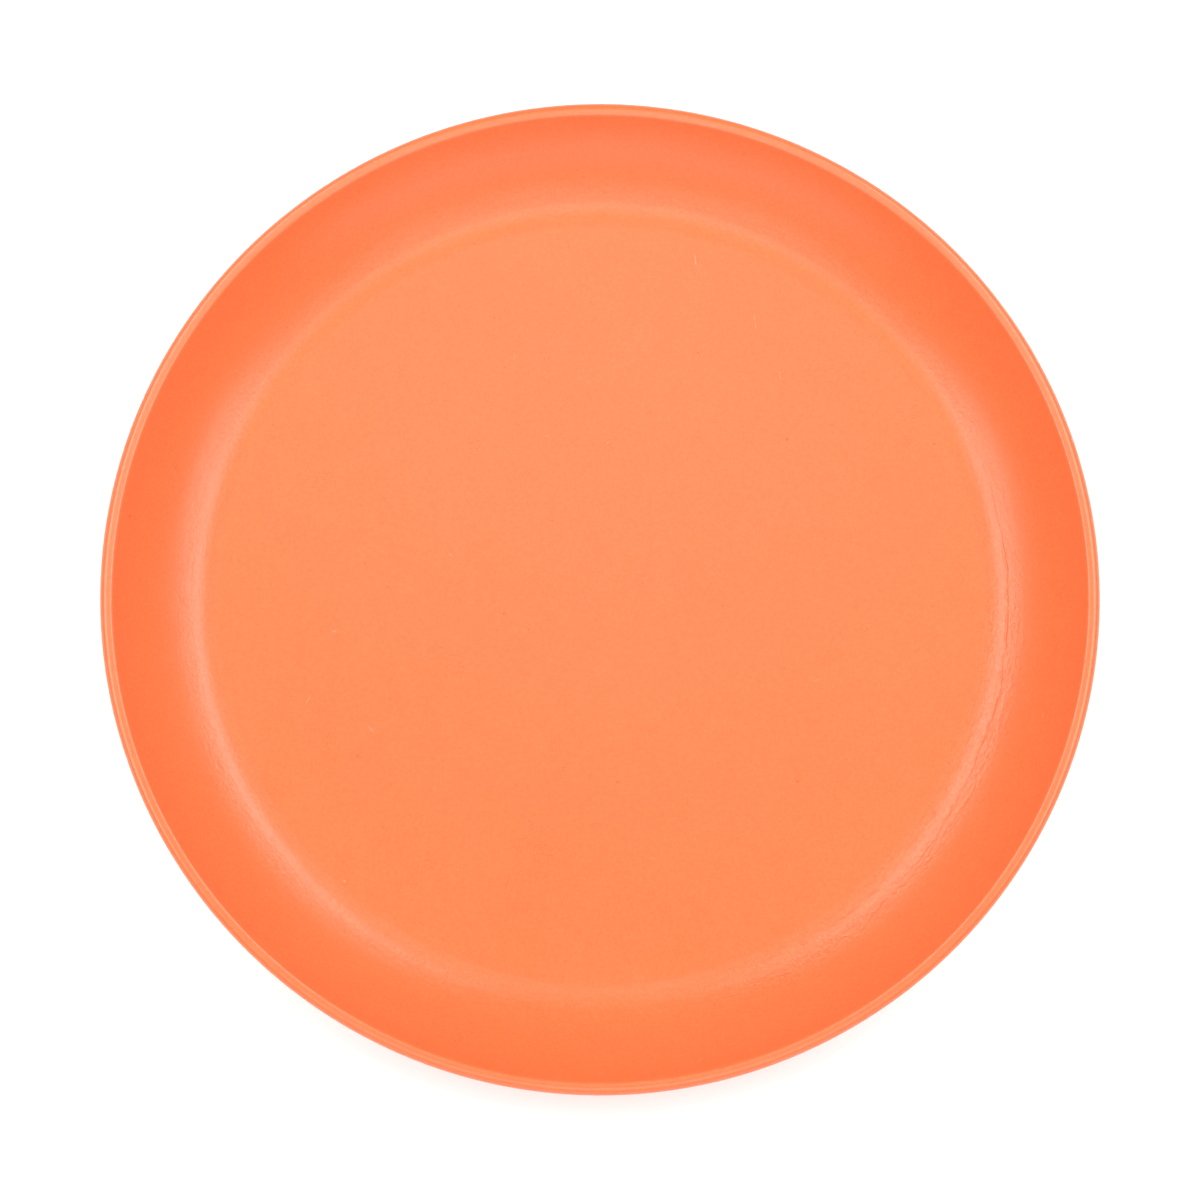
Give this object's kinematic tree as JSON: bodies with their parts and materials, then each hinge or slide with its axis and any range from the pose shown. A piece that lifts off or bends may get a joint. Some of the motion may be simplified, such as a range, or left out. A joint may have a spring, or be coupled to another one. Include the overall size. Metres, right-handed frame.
{
  "type": "flying disc",
  "caption": "Round one-piece moulded flying disc with a flat flight plate, a curved wall and a rounded lip, shown hollow side up.",
  "frame": {"origin": "middle of the flat outer face that the disc lies on, at the height of that face", "axes": "+Z is the disc's own axis, from the flat outer face towards the open hollow side; the disc is round, so X and Y are any two directions square to it"},
  "size_m": [0.25, 0.25, 0.022],
  "materials": {
    "moulded_plastic": "orange polyethylene, self-coloured, satin from the mould, with fine specks and light handling scuffs"
  },
  "bodies": {
    "root": {"disc": "moulded_plastic"}
  },
  "joints": []
}
